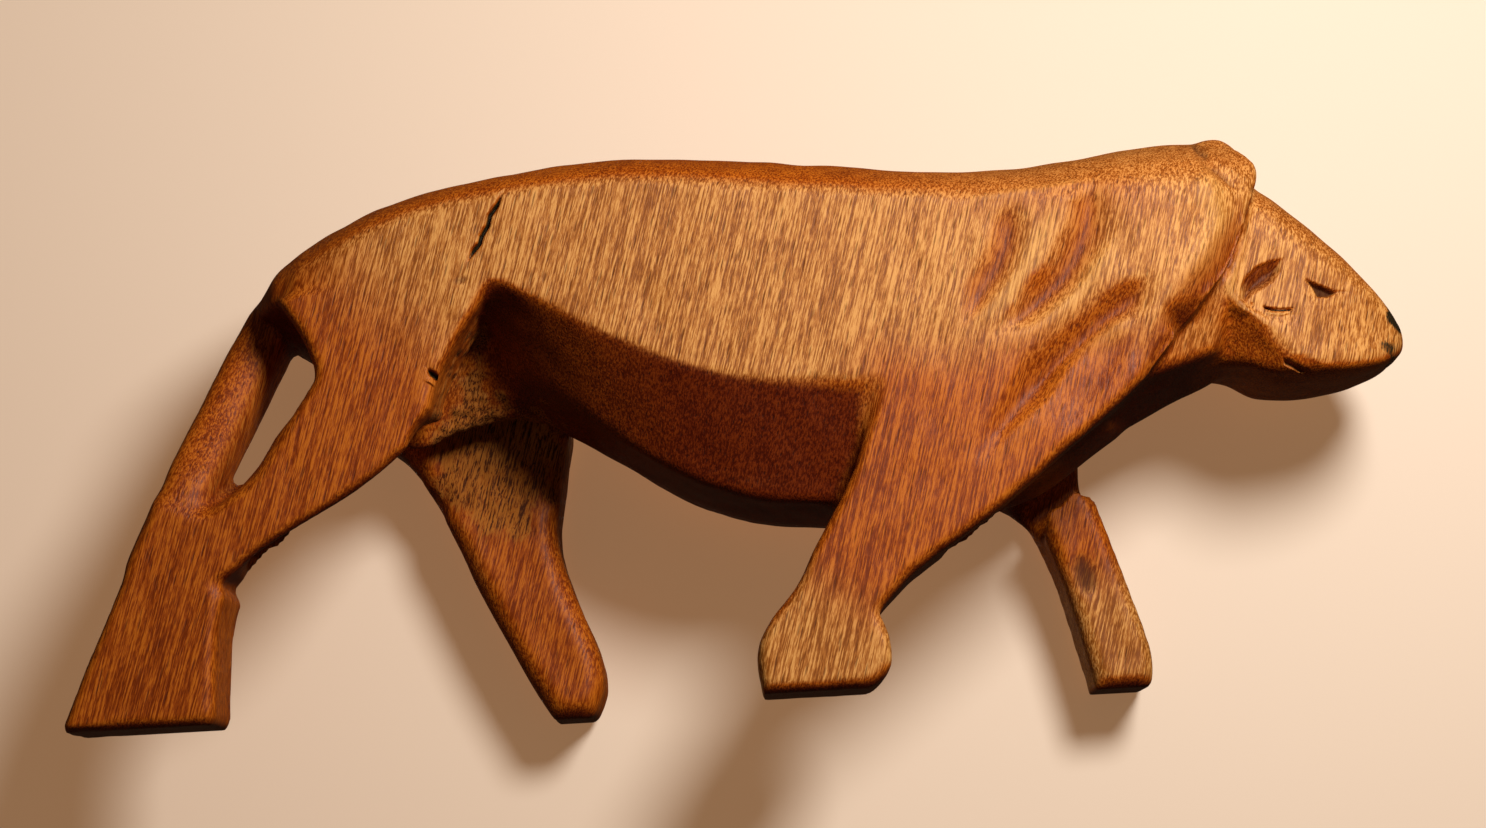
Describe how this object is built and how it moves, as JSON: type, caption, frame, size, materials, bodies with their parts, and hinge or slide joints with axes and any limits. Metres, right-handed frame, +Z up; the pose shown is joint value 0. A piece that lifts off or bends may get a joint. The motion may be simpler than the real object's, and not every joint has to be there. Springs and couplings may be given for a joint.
{
  "type": "carved wooden lion figurine",
  "caption": "Small whittled wooden lion in mid-stride with head held low, rests on its feet as a shelf or desk ornament.",
  "frame": {"origin": "on the ground, under the middle of the figurine's bounding box", "axes": "+X from the tail to the nose, +Z up, -Y the lion's right side, where the tail lies against the hind leg"},
  "size_m": [0.1218, 0.026, 0.0509],
  "materials": {
    "oiled_wood": "satin oiled, hand rubbed"
  },
  "bodies": {
    "root": {"lion": "oiled_wood"}
  },
  "joints": []
}
